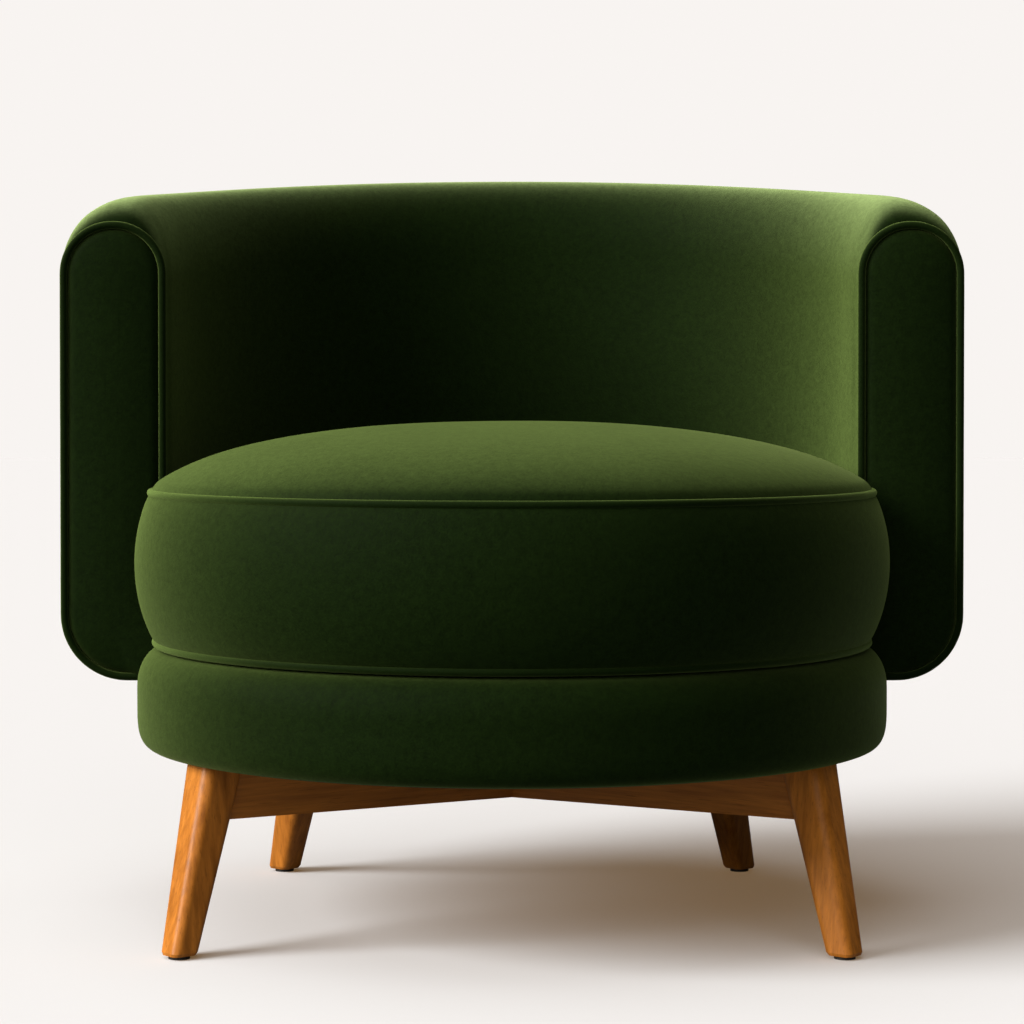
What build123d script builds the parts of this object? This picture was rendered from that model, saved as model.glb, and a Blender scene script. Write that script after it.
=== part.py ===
from build123d import *
import math
import os

os.makedirs("parts", exist_ok=True)

# Driving dimensions of the chair, in millimetres
overall_width = 816.0
overall_height = 684.0
back_rise = 54.0
seat_height = 446.0
wall_thickness = 96.0
cushion_overhang = 27.0
base_tuck = 22.0
seat_setoff = 14.0

# Seat cushion
cushion_crown = 65.0
cushion_boxing_height = 132.0
cushion_bulge = 17.0
cushion_heel = 4.5
shoulder_gap = 4.0
wall_clearance = 3.5
welt_proud = -0.5
welt_sink = 2.0
zip_tape = 0.8
zip_height = 22.0
zip_spread = 50.0
slider_depth = 1.4
slider_width = 9.0
slider_height = 7.0
slider_pull_length = 17.0

# Seat base
base_height = 86.0
base_draw_in = 19.0
base_lip_in = 13.0
base_reveal = 2.0
base_panel_thickness = 15.0
hoop_width = 28.0
hoop_setback = 23.0
hoop_screw_count = 8
deck_overhang = 10.0
deck_ring_width = 50.0
deck_ring_thickness = 12.0
deck_pad = 5.0

# Wall
wall_lap = 35.0
roll_outer_round = 54.0
roll_inner_round = 38.0
roll_over = 12.0
wall_foot_round = 60.0
panel_thickness = 14.0
post_board = 18.0
rail_depth = 18.0
frame_width = 32.0
top_padding = 46.0
post_width = 30.0
post_ease = 4.0
post_count = 6
post_spread = 75.0

# Legs and cross frame
leg_top_size = 40.0
leg_foot_size = 25.5
leg_corner = 0.27
leg_ease = 2.5
rail_thickness = 28.0
rail_end_depth = 47.0
rail_mid_depth = 55.0
glide_height = 3.0
glide_radius = 9.0
glide_pin_radius = 2.5
glide_pin_length = 13.0

# Cloth, piping and fixings
cover = 2.2
piping = 7.0
webbing_width = 50.0
webbing_thickness = 1.6
webbing_count = 5
webbing_margin = 8.0
bracket_width = 40.0
bracket_thickness = 5.0
bracket_count = 5
bracket_spread = 60.0
washer_height = 1.6
bolt_diameter = 8.0
small_bolt = 6.0
screw_diameter = 5.0
dowel_diameter = 8.0
dowel_length = 36.0

# Clearances
fit = 0.3
hole_fit = 0.15
rest_gap = 0.3

# Plan: the wall and the seat have their own upright axes
wall_outer = overall_width / 2
wall_inner = wall_outer - wall_thickness
cushion_radius = wall_inner + cushion_overhang
base_radius = wall_inner + base_tuck
arm_height = overall_height - back_rise
overall_depth = wall_outer + seat_setoff + cushion_radius
wall_y = overall_depth / 2 - wall_outer
seat_y = wall_y - seat_setoff
seam_radius = cushion_radius - cushion_bulge
cushion_rear = wall_inner - wall_clearance

# Heights, worked down from the seat
seam_upper = seat_height - cushion_crown
seam_lower = seam_upper - cushion_boxing_height
cushion_bottom = seam_lower - cushion_heel
base_top = cushion_bottom - rest_gap
base_bottom = base_top - base_height
leg_top = base_bottom - base_reveal
panel_top = leg_top + base_panel_thickness
wall_bottom = base_top - wall_lap
deck_stack = deck_ring_thickness + 2 * webbing_thickness + cover + deck_pad
deck_ring_top = base_top - deck_stack + deck_ring_thickness
deck_ring_bottom = deck_ring_top - deck_ring_thickness

# Radii of the seat base
base_foot = base_radius - base_draw_in
hoop_outer = base_foot - hoop_setback
hoop_inner = hoop_outer - hoop_width
deck_ring_outer = hoop_outer + deck_overhang
deck_ring_inner = deck_ring_outer - deck_ring_width

# Wooden frame inside the wall
frame_inner = wall_inner + 0.34 * wall_thickness
frame_outer = frame_inner + frame_width
frame_mid = (frame_inner + frame_outer) / 2
wall_mid = (wall_inner + wall_outer) / 2
outer_round = min(roll_outer_round, 0.57 * wall_thickness)
inner_round = min(roll_inner_round, 0.40 * wall_thickness)
wall_slope = math.degrees(math.atan2(overall_height - arm_height, wall_outer - outer_round))
board_front = wall_y + panel_thickness + fit
board_back = board_front + post_board
beyond = 4 * wall_outer

up = (0, 0, 1)
seat_axis = Axis((0, seat_y, 0), up)


def at_seat(z):
    return Pos(0, seat_y, z)


def at_wall(z):
    return Pos(0, wall_y, z)


def drum(radius, low, high):
    return at_seat(low) * Cylinder(radius, high - low, align=(Align.CENTER, Align.CENTER, Align.MIN))


def ring(outer, inner, low, high):
    return drum(outer, low, high) - drum(inner, low - 1, high + 1)


def seat_plane():
    return Plane(origin=(0, seat_y, 0), x_dir=(1, 0, 0), z_dir=(0, -1, 0))


def turned(lines):
    face = seat_plane() * make_face(Curve() + lines)
    return revolve(face, seat_axis, 360)


def above_slope(drop):
    plane = Plane(origin=(0, wall_y, arm_height), x_dir=(1, 0, 0))
    plane = plane.rotated((wall_slope, 0, 0)).offset(-drop)
    return plane * Box(beyond, beyond, overall_height, align=(Align.CENTER, Align.CENTER, Align.MIN))


def above(z):
    block = Box(beyond, beyond, 2 * overall_height, align=(Align.CENTER, Align.CENTER, Align.MIN))
    return Pos(0, 0, z) * block


def behind(y):
    return Pos(0, y, 0) * Box(beyond, beyond, beyond, align=(Align.CENTER, Align.MIN, Align.CENTER))


def half_ring(outer, inner, low, front):
    face = Circle(outer) - Circle(inner)
    return extrude(at_wall(low) * face, overall_height) & behind(front)


# Sloping rims of the wall top, the inner one first
def top_rims(body):
    return body.edges().filter_by(GeomType.ELLIPSE).sort_by(SortBy.LENGTH)


# Padded half-round wall, drawn in by a given inset
def wall_form(inset, front):
    slope = above_slope(inset)
    body = half_ring(wall_outer - inset, wall_inner + inset, wall_bottom + inset, front) - slope
    body = fillet(top_rims(body)[-1], outer_round - inset)
    body = fillet(top_rims(body)[0], inner_round - inset)
    low_face = body.faces().sort_by(Axis.Z)[0]
    rims = [e for e in low_face.edges() if e.geom_type != GeomType.LINE]
    outer_rim = max(rims, key=lambda e: e.length)
    return fillet(outer_rim, wall_foot_round - inset)


# Upright outline of an arm front, right side, drawn in by a given inset, under the roll by a given drop
def arm_outline(inset, drop):
    low = wall_bottom + inset
    high = arm_height - drop - inset
    left = wall_inner + inset
    right = wall_outer - inset
    face = Pos((left + right) / 2, (low + high) / 2) * Rectangle(right - left, high - low)
    tops = face.vertices().sort_by(Axis.Y)[2:]
    face = fillet(tops, 0.49 * (right - left))
    outer_foot = max(face.vertices(), key=lambda v: v.X - v.Y)
    face = fillet(outer_foot, wall_foot_round - inset)
    inner_foot = min(face.vertices(), key=lambda v: v.X + v.Y)
    return fillet(inner_foot, max(0.2 * wall_thickness - inset, 2.0))


def arm_plane(y):
    return Plane(origin=(0, y, 0), x_dir=(1, 0, 0), z_dir=(0, -1, 0))


# Round seat base with a rolled edge, drawn in by a given inset
def base_form(inset):
    low = base_bottom + inset
    high = base_top - inset
    side = base_radius - inset
    foot = base_foot - inset
    lip = base_radius - base_lip_in - inset
    roll = 0.36 * base_height
    crest = 0.30 * base_height
    lines = [
        Line((0, low), (foot, low)),
        TangentArc((side, low + roll), (foot, low), tangent=(0, -1)),
        Line((side, low + roll), (side, high - crest)),
        TangentArc((side, high - crest), (lip, high), tangent=(0, 1)),
        Line((lip, high), (0, high)),
        Line((0, high), (0, low)),
    ]
    return turned(lines)


# Plan of the cushion: round in front, narrower between the arms behind
def cushion_plan(front_radius, rear_radius, gap, nose, throat):
    shoulder = wall_y - gap
    size = 4 * front_radius
    fore = Pos(0, shoulder) * Rectangle(size, size, align=(Align.CENTER, Align.MAX))
    plan = (Pos(0, seat_y) * Circle(front_radius) & fore) + Pos(0, wall_y) * Circle(rear_radius)
    front_half = math.sqrt(front_radius ** 2 - (shoulder - seat_y) ** 2)
    step = front_half - math.sqrt(rear_radius ** 2 - gap ** 2)
    corners = [v for v in plan.vertices() if abs(v.Y - shoulder) < 0.01]
    corners.sort(key=lambda v: abs(v.X))
    plan = fillet(corners[2:], nose * step)
    corners = [v for v in plan.vertices() if abs(v.Y - shoulder) < 0.01]
    corners.sort(key=lambda v: abs(v.X))
    return fillet(corners[:2], throat * step)


# Crowned cushion with a bulging side, drawn in by a given inset
def cushion_form(inset):
    low = cushion_bottom + inset
    seam = seam_radius - inset
    lower = seam_lower
    upper = seam_upper
    crest = seat_height - inset
    heel_r = seam - 5 * cushion_heel
    rise = crest - upper
    brow = (0.6 * seam, upper + 0.8 * rise)
    cheek = (0.9 * seam, upper + 0.436 * rise)
    fall = crest - brow[1]
    sweep_radius = (brow[0] ** 2 + fall ** 2) / (2 * fall)
    half_z = crest - sweep_radius + math.sqrt(sweep_radius ** 2 - (brow[0] / 2) ** 2)
    crown_arc = ThreePointArc((0, crest), (brow[0] / 2, half_z), brow)
    cheek_arc = TangentArc(brow, cheek, tangent=crown_arc % 1)
    edge_arc = TangentArc(cheek, (seam, upper), tangent=cheek_arc % 1)
    lines = [
        Line((0, low), (heel_r, low)),
        TangentArc((heel_r, low), (seam, lower), tangent=(1, 0)),
        ThreePointArc((seam, lower), (cushion_radius - inset, (lower + upper) / 2), (seam, upper)),
        edge_arc,
        cheek_arc,
        crown_arc,
        Line((0, crest), (0, low)),
    ]
    plan = cushion_plan(cushion_radius + cover / 2, cushion_rear - inset, shoulder_gap + inset, 0.80, 0.12)
    return turned(lines) & extrude(plan, 2 * overall_height)


def piping_ring(plan, z, radius):
    path = Pos(0, 0, z) * plan.wires()[0]
    start = Plane(origin=path @ 0, z_dir=path % 0)
    return sweep(start * Circle(radius), path=path)


def screw(length, diameter):
    head = 0.5 * diameter
    shank = Cylinder(diameter / 2, length, align=(Align.CENTER, Align.CENTER, Align.MAX))
    cone = Cone(diameter / 2, 0.9 * diameter, head, align=(Align.CENTER, Align.CENTER, Align.MAX))
    return shank + cone


def bolt(length, diameter):
    shank = Cylinder(diameter / 2, length, align=(Align.CENTER, Align.CENTER, Align.MAX))
    head = Cylinder(0.85 * diameter, 0.6 * diameter, align=(Align.CENTER, Align.CENTER, Align.MIN))
    return shank + head


def around_seat(radius, count, start, z):
    step = 360.0 / count
    return [at_seat(z) * Rot(0, 0, start + i * step) * Pos(radius, 0, 0) for i in range(count)]


def around_wall(radius, count, spread, z):
    step = 2 * spread / (count - 1)
    return [at_wall(z) * Rot(0, 0, 90 - spread + i * step) * Pos(radius, 0, 0) for i in range(count)]


def pair(shape):
    return mirror(shape, about=Plane.YZ)


nodes = {}

# Leg positions, measured from the seat axis as shares of the base panel
front_top = (-0.797 * base_foot, seat_y - 0.476 * base_foot)
front_foot = (-0.877 * base_foot, seat_y - 0.641 * base_foot)
back_top = (0.613 * base_foot, seat_y + 0.635 * base_foot)
back_foot = (0.709 * base_foot, seat_y + 0.762 * base_foot)
run = (back_top[0] - front_top[0], back_top[1] - front_top[1])
rail_length = math.hypot(run[0], run[1])
rail_angle = math.degrees(math.atan2(run[1], run[0]))
along = (run[0] / rail_length, run[1] / rail_length)
cross_share = -front_top[0] / run[0]
cross_y = front_top[1] + cross_share * run[1]


def leg_section(size, x, y, z):
    return Pos(x, y, z) * Rot(0, 0, rail_angle) * RectangleRounded(size, size, leg_corner * size)


# Tapered, splayed leg of soft square section with an eased foot
def leg(top, foot, spare):
    share = leg_ease / (leg_top - glide_height)
    near = (foot[0] + share * (top[0] - foot[0]), foot[1] + share * (top[1] - foot[1]))
    low = leg_section(leg_foot_size - leg_ease + spare, foot[0], foot[1], glide_height)
    mid = leg_section(leg_foot_size + spare, near[0], near[1], glide_height + leg_ease)
    high = leg_section(leg_top_size + spare, top[0], top[1], leg_top)
    return loft([low, mid], ruled=True) + loft([mid, high], ruled=True)


def rail_place(u, z):
    return Pos(front_top[0] + u * along[0], front_top[1] + u * along[1], z) * Rot(0, 0, rail_angle)


# Cross rail, deeper where the two rails lap
def rail_blank(spare):
    plane = Plane(
        origin=(front_top[0], front_top[1], 0),
        x_dir=(along[0], along[1], 0),
        z_dir=(along[1], -along[0], 0),
    )
    middle = cross_share * rail_length
    lines = Polyline(
        (0, leg_top),
        (rail_length, leg_top),
        (rail_length, leg_top - rail_end_depth),
        (middle, leg_top - rail_mid_depth),
        (0, leg_top - rail_end_depth),
        close=True,
    )
    return extrude(plane * make_face(lines), rail_thickness / 2 + spare, both=True)


def leg_centre(top, foot, z):
    share = (z - glide_height) / (leg_top - glide_height)
    return (foot[0] + share * (top[0] - foot[0]), foot[1] + share * (top[1] - foot[1]))


# Two dowels at each end of a rail
def dowels(radius, length):
    pegs = []
    for top, foot, sign in ((front_top, front_foot, 1), (back_top, back_foot, -1)):
        for drop in (0.28, 0.70):
            z = leg_top - drop * rail_end_depth
            size = leg_foot_size + (leg_top_size - leg_foot_size) * z / leg_top
            cx, cy = leg_centre(top, foot, z)
            shift = (cx - front_top[0]) * along[0] + (cy - front_top[1]) * along[1] + sign * size / 2
            peg = Rot(0, 90, 0) * Cylinder(radius, length)
            pegs.append(rail_place(shift, z) * peg)
    return pegs


def glide(foot, spare):
    pin = Pos(foot[0], foot[1], 0.7 * glide_height) * Cylinder(
        glide_pin_radius + spare, glide_pin_length + spare, align=(Align.CENTER, Align.CENTER, Align.MIN)
    )
    pad = Pos(foot[0], foot[1], 0) * Cylinder(
        glide_radius, glide_height, align=(Align.CENTER, Align.CENTER, Align.MIN)
    )
    return pin if spare else pad + pin


# Bolts that hold the cross frame to the base panel
frame_spots = [rail_place(share * rail_length, panel_top) for share in (0.27, 0.80)]
frame_bolt_length = base_panel_thickness + 0.62 * rail_end_depth
bolt_place = Pos(0, 0, washer_height)
frame_bolts = [spot * bolt_place * bolt(frame_bolt_length, bolt_diameter) for spot in frame_spots]
frame_holes = [spot * Pos(0, 0, 1) * Cylinder(
    bolt_diameter / 2 + fit, frame_bolt_length + 6, align=(Align.CENTER, Align.CENTER, Align.MAX)
) for spot in frame_spots]
washers = [spot * (
    Cylinder(bolt_diameter, washer_height, align=(Align.CENTER, Align.CENTER, Align.MIN))
    - Cylinder(bolt_diameter / 2 + fit, 4 * washer_height)
) for spot in frame_spots]
insert_height = 0.42 * rail_end_depth
insert_sleeve = Cylinder(0.8 * bolt_diameter, insert_height, align=(Align.CENTER, Align.CENTER, Align.MAX))
insert_bore = Cylinder(bolt_diameter / 2 + hole_fit, 3 * insert_height)
insert_place = Pos(0, 0, -base_panel_thickness - 0.1 * rail_end_depth)
inserts = [spot * insert_place * (insert_sleeve - insert_bore) for spot in frame_spots]
insert_pockets = [spot * insert_place * Cylinder(
    0.8 * bolt_diameter + hole_fit, insert_height + hole_fit, align=(Align.CENTER, Align.CENTER, Align.MAX)
) for spot in frame_spots]

# Legs and cross rails of one diagonal, then their mirror images
pegs = dowels(dowel_diameter / 2, dowel_length)
peg_holes = dowels(dowel_diameter / 2 + hole_fit, dowel_length + 2 * fit)
leg_fl = leg(front_top, front_foot, 0)
leg_br = leg(back_top, back_foot, 0)
rail_a = rail_blank(0) - leg(front_top, front_foot, fit) - leg(back_top, back_foot, fit)
rail_b = pair(rail_a)
lap_z = leg_top - rail_mid_depth / 2
lap_size = (4 * rail_thickness, rail_thickness + 2 * hole_fit, rail_mid_depth)
lap_upper = rail_place(cross_share * rail_length, lap_z) * Box(
    *lap_size, align=(Align.CENTER, Align.CENTER, Align.MIN)
)
lap_lower = rail_place(cross_share * rail_length, lap_z + hole_fit) * Box(
    *lap_size, align=(Align.CENTER, Align.CENTER, Align.MAX)
)
rail_a -= pair(lap_upper)
rail_b -= lap_lower
for hole in peg_holes + frame_holes + insert_pockets:
    rail_a -= hole
    rail_b -= pair(hole)
for hole in peg_holes:
    leg_fl -= hole
    leg_br -= hole
leg_fl -= glide(front_foot, hole_fit)
leg_br -= glide(back_foot, hole_fit)
nodes["leg_front_left"] = [leg_fl]
nodes["leg_front_right"] = [pair(leg_fl)]
nodes["leg_back_right"] = [leg_br]
nodes["leg_back_left"] = [pair(leg_br)]
nodes["cross_rail_a"] = [rail_a]
nodes["cross_rail_b"] = [rail_b]
nodes["leg_dowels"] = pegs + [pair(p) for p in pegs]
glides = [glide(front_foot, 0), glide(back_foot, 0)]
nodes["floor_glides"] = glides + [pair(g) for g in glides]

# Brackets that carry the wall from the deck ring
brackets = []
bracket_slots = []
bracket_bolts = []
bracket_holes = []
anchor_radius = hoop_inner - small_bolt
for i in range(bracket_count):
    turn = 90 - bracket_spread + i * 2 * bracket_spread / (bracket_count - 1)
    spot = at_wall(deck_ring_bottom) * Rot(0, 0, turn)
    sine = math.sin(math.radians(turn))
    cosine = math.cos(math.radians(turn))
    anchor = math.sqrt(anchor_radius ** 2 - (seat_setoff * cosine) ** 2) - seat_setoff * sine
    length = frame_outer - post_ease - anchor + 2 * small_bolt
    flat = Box(length, bracket_width, bracket_thickness, align=(Align.MIN, Align.CENTER, Align.MAX))
    slot = Pos(-fit, 0, fit) * Box(
        length + 2 * fit,
        bracket_width + 2 * fit,
        bracket_thickness + 2 * fit,
        align=(Align.MIN, Align.CENTER, Align.MAX),
    )
    place = spot * Pos(anchor - 2 * small_bolt, 0, 0)
    outer_bolt = spot * Pos(frame_mid, 0, rail_depth) * bolt(rail_depth + bracket_thickness, small_bolt)
    inner_bolt = spot * Pos(anchor, 0, -bracket_thickness) * Rot(180, 0, 0) * bolt(
        bracket_thickness + deck_ring_thickness - 1, small_bolt
    )
    outer_hole = spot * Pos(frame_mid, 0, 0) * Cylinder(small_bolt / 2 + hole_fit, 4 * rail_depth)
    inner_hole = spot * Pos(anchor, 0, 0) * Cylinder(small_bolt / 2 + hole_fit, 2 * rail_depth)
    brackets.append(place * flat - outer_hole - inner_hole)
    bracket_slots.append(place * slot)
    bracket_bolts += [outer_bolt, inner_bolt]
    bracket_holes += [outer_hole, inner_hole]
nodes["wall_brackets"] = brackets
nodes["bracket_bolts"] = bracket_bolts

# Seat base, from the panel up
base_panel = drum(base_foot, leg_top, panel_top)
for hole in frame_holes:
    base_panel -= hole
    base_panel -= pair(hole)
hoop_mid = (hoop_outer + hoop_inner) / 2
hoop_screw_length = 2.4 * base_panel_thickness
deck_screw_length = 2.6 * deck_ring_thickness
hole_diameter = screw_diameter + 2 * hole_fit
over = Rot(180, 0, 0)
low_spots = around_seat(hoop_mid, hoop_screw_count, 0, leg_top)
high_spots = around_seat(hoop_mid, hoop_screw_count, 180 / hoop_screw_count, deck_ring_top)
up_screws = [spot * over * screw(hoop_screw_length, screw_diameter) for spot in low_spots]
up_holes = [spot * over * screw(hoop_screw_length + fit, hole_diameter) for spot in low_spots]
down_screws = [spot * screw(deck_screw_length, screw_diameter) for spot in high_spots]
down_holes = [spot * screw(deck_screw_length + fit, hole_diameter) for spot in high_spots]
base_hoop = ring(hoop_outer, hoop_inner, panel_top, deck_ring_bottom)
deck_ring = ring(deck_ring_outer, deck_ring_inner, deck_ring_bottom, deck_ring_top)
for hole in up_holes:
    base_panel -= hole
    base_hoop -= hole
for hole in down_holes:
    base_hoop -= hole
    deck_ring -= hole
for slot in bracket_slots:
    base_hoop -= slot
for hole in bracket_holes:
    deck_ring -= hole
nodes["base_panel"] = [base_panel]
nodes["base_hoop"] = [base_hoop]
nodes["base_screws"] = up_screws
nodes["deck_ring"] = [deck_ring]
nodes["deck_screws"] = down_screws
nodes["frame_bolts"] = frame_bolts + [pair(b) for b in frame_bolts]
nodes["frame_washers"] = washers + [pair(w) for w in washers]
nodes["threaded_inserts"] = inserts + [pair(i) for i in inserts]

# Webbing, deck pad, deck cloth, side padding and side cover
web_reach = deck_ring_outer - webbing_margin
web_pitch = 1.7 * web_reach / webbing_count
web_low = deck_ring_top + fit / 2
web_high = web_low + webbing_thickness + fit / 2
across = []
lengthwise = []
for i in range(webbing_count):
    offset = (i - (webbing_count - 1) / 2) * web_pitch
    chord = 2 * math.sqrt(web_reach ** 2 - (abs(offset) + webbing_width / 2) ** 2)
    band = Box(chord, webbing_width, webbing_thickness, align=(Align.CENTER, Align.CENTER, Align.MIN))
    across.append(at_seat(web_low) * Pos(0, offset, 0) * band)
    lengthwise.append(at_seat(web_high) * Rot(0, 0, 90) * Pos(0, offset, 0) * band)
nodes["webbing_across"] = across
nodes["webbing_front_to_back"] = lengthwise
pad_low = web_high + webbing_thickness + fit / 2
pad_high = base_top - cover
nodes["deck_padding"] = [drum(deck_ring_outer - fit, pad_low, pad_high)]
nodes["deck_cloth"] = [drum(deck_ring_outer - fit, pad_high, base_top)]

inside_base = (
    drum(base_foot + fit, leg_top - 1, panel_top + fit)
    + drum(hoop_outer + fit, leg_top, deck_ring_bottom)
    + drum(deck_ring_outer + fit, deck_ring_bottom - fit, base_top + 1)
)
base_padding = base_form(cover + fit / 2) - inside_base
base_cover = base_form(0) - base_form(cover) - inside_base
for slot in bracket_slots:
    base_padding -= slot
    base_cover -= slot
nodes["base_padding"] = [base_padding]
nodes["base_cover"] = [base_cover]

# Frame inside the wall
base_room = base_form(-2 * fit)
rail_low = deck_ring_bottom
rail_high = rail_low + rail_depth
below_top = above_slope(top_padding)
below_rail = above_slope(top_padding + rail_depth)
frame_ring = half_ring(frame_outer, frame_inner, rail_low, board_back)
bottom_rail = frame_ring - above(rail_high)
top_rail = (frame_ring - below_top) & below_rail
posts = []
for spot in around_wall(frame_mid, post_count, post_spread, rail_high):
    stud = spot * Box(
        frame_width - post_ease, post_width, overall_height, align=(Align.CENTER, Align.CENTER, Align.MIN)
    )
    posts.append(stud - below_rail)
board = extrude(arm_plane(board_front) * arm_outline(panel_thickness, roll_over), -post_board) - base_room
board_outline = arm_outline(panel_thickness - fit, roll_over)
board_room = extrude(arm_plane(board_front - fit) * board_outline, -post_board - 2 * fit)
screw_low = rail_low + rail_depth / 2
board_rise = (board_back - wall_y) * math.tan(math.radians(wall_slope))
screw_high = arm_height - top_padding - rail_depth / 2 + board_rise
post_screws = []
post_holes = []
for z in (screw_low, screw_high):
    spot = Pos(frame_mid - post_ease / 2, board_front, z) * Rot(90, 0, 0)
    post_screws.append(spot * screw(3 * post_board, screw_diameter))
    post_holes.append(spot * screw(3 * post_board + fit, hole_diameter))
for hole in bracket_holes:
    bottom_rail -= hole
for hole in post_holes:
    board -= hole
    bottom_rail -= hole
    bottom_rail -= pair(hole)
    top_rail -= hole
    top_rail -= pair(hole)
nodes["wall_bottom_rail"] = [bottom_rail]
nodes["wall_top_rail"] = [top_rail]
nodes["wall_posts"] = posts
nodes["arm_post_right"] = [board]
nodes["arm_post_left"] = [pair(board)]
nodes["arm_post_screws"] = post_screws + [pair(s) for s in post_screws]

# Padding and covers of the wall
frame_cavity = half_ring(frame_outer + fit, frame_inner - fit, rail_low - fit, board_back - fit)
frame_cavity -= above_slope(top_padding - fit)
cover_front = wall_y + piping + fit
front_outline = arm_outline(cover, roll_over + piping - cover)
front_room = extrude(arm_plane(wall_y) * front_outline, -panel_thickness - fit)
panel_room = extrude(arm_plane(wall_y) * arm_outline(piping, roll_over), -panel_thickness - fit)
wall_padding = wall_form(cover + fit / 2, cover_front + cover + fit / 2) - frame_cavity
wall_padding = wall_padding - front_room - pair(front_room) - board_room - pair(board_room) - base_room
wall_cover = wall_form(0, cover_front) - wall_form(cover, cover_front + cover)
wall_cover = wall_cover - panel_room - pair(panel_room) - base_room
for slot in bracket_slots:
    wall_padding -= slot
    wall_cover -= slot
seam_line = above_slope(1.2 * outer_round)
outer_half = half_ring(wall_outer + piping, wall_mid, wall_bottom - piping, wall_y) - seam_line
under_half = half_ring(wall_mid + piping, wall_inner, wall_bottom - piping, wall_y)
outside = outer_half + (under_half - above(wall_bottom + 0.6 * wall_lap))
nodes["wall_padding"] = [wall_padding]
nodes["wall_inside_cover"] = [wall_cover - outside]
nodes["wall_outside_cover"] = [wall_cover & outside]

# Arm fronts: padded panel and its piping
panel_inset = piping + fit
arm_panel = extrude(arm_plane(wall_y) * arm_outline(panel_inset, roll_over), -panel_thickness) - base_room
arm_path = arm_plane(wall_y + piping / 2) * arm_outline(piping / 2, roll_over)
arm_welt = piping_ring(arm_path, 0, piping / 2) - base_room
nodes["arm_panel_right"] = [arm_panel]
nodes["arm_panel_left"] = [pair(arm_panel)]
nodes["arm_welt_right"] = [arm_welt]
nodes["arm_welt_left"] = [pair(arm_welt)]

# Loose seat cushion
welt_front = seam_radius + welt_proud
welt_plan = cushion_plan(welt_front, cushion_rear - welt_sink, shoulder_gap + welt_sink, 0.30, 0.40)
welt_upper = piping_ring(welt_plan, seam_upper, piping / 2)
welt_lower = piping_ring(welt_plan, seam_lower, piping / 2)
room_upper = piping_ring(welt_plan, seam_upper, piping / 2 + hole_fit)
room_lower = piping_ring(welt_plan, seam_lower, piping / 2 + hole_fit)
cushion_skin = cushion_form(0) - cushion_form(cover) - room_upper - room_lower
cushion_foam = cushion_form(cover + fit / 2) - room_upper - room_lower
skins = sorted(cushion_skin.solids().sort_by(SortBy.VOLUME)[-3:], key=lambda part: part.center().Z)
nodes["cushion_foam"] = [cushion_foam]
nodes["cushion_bottom_panel"] = skins[:1]
nodes["cushion_boxing"] = skins[1:2]
nodes["cushion_top_panel"] = skins[2:]
nodes["cushion_welt_upper"] = [welt_upper]
nodes["cushion_welt_lower"] = [welt_lower]

# Zip across the back of the cushion boxing
zip_z = (seam_lower + seam_upper) / 2
zip_face = Pos(cushion_rear + (fit + zip_tape) / 2, zip_z) * Rectangle(zip_tape, zip_height)
zip_turn = math.radians(90 - zip_spread)
zip_plane = Plane(
    origin=(0, wall_y, 0),
    x_dir=(math.cos(zip_turn), math.sin(zip_turn), 0),
    z_dir=(math.sin(zip_turn), -math.cos(zip_turn), 0),
)
tape = revolve(zip_plane * zip_face, Axis((0, wall_y, 0), up), 2 * zip_spread)
slider_radius = cushion_rear + fit + zip_tape + fit / 2
slider_place = at_wall(zip_z) * Rot(0, 0, 90 - zip_spread + 2) * Pos(slider_radius, 0, 0)
slider_body = Box(slider_depth, slider_width, slider_height, align=(Align.MIN, Align.CENTER, Align.CENTER))
slider_pull = Pos(0, 0, -0.43 * slider_height) * Box(
    0.8 * slider_depth, 0.67 * slider_width, slider_pull_length, align=(Align.MIN, Align.CENTER, Align.MAX)
)
nodes["zip_tape"] = [tape]
nodes["zip_slider"] = [slider_place * (slider_body + slider_pull)]

for name, shapes in nodes.items():
    solids = [s for shape in shapes for s in shape.solids()]
    export_step(Compound(children=solids), f"parts/{name}.step")
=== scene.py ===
"""Round accent chair in dark green velvet on a wooden cross frame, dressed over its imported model."""
import math

import bmesh
import bpy
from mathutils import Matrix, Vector, noise


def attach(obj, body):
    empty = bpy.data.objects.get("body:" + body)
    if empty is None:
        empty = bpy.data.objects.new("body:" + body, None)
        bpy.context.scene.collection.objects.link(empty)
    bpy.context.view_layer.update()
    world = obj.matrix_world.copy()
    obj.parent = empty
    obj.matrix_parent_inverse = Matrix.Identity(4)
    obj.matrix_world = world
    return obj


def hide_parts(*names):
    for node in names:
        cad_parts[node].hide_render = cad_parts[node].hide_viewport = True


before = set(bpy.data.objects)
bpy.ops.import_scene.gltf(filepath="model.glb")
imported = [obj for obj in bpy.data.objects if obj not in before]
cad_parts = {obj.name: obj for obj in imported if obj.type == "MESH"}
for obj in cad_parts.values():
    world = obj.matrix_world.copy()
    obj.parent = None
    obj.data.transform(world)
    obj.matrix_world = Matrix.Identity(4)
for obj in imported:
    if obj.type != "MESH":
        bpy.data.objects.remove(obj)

bl_info = {
    "name": "Round Accent Chair",
    "version": (1, 0, 0),
    "blender": (4, 5, 0),
    "location": "View3D > Sidebar > Chair",
    "description": "Velvet, piping, wood and stage of a round accent chair",
    "category": "Object",
}


def amount(name, description, default, **kind):
    """Property that is a number; kind is its unit or subtype"""
    return bpy.props.FloatProperty(name=name, description=description, default=default, **kind)


def length(name, description, default):
    """Property that is a length in metres"""
    return amount(name, description, default, unit="LENGTH")


def angle(name, description, degrees):
    """Property that is an angle"""
    return amount(name, description, math.radians(degrees), subtype="ANGLE")


def colour(name, description, default):
    """Property that is a linear colour"""
    return bpy.props.FloatVectorProperty(
        name=name, description=description, default=default, subtype="COLOR", size=3, min=0.0, max=1.0
    )


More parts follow.
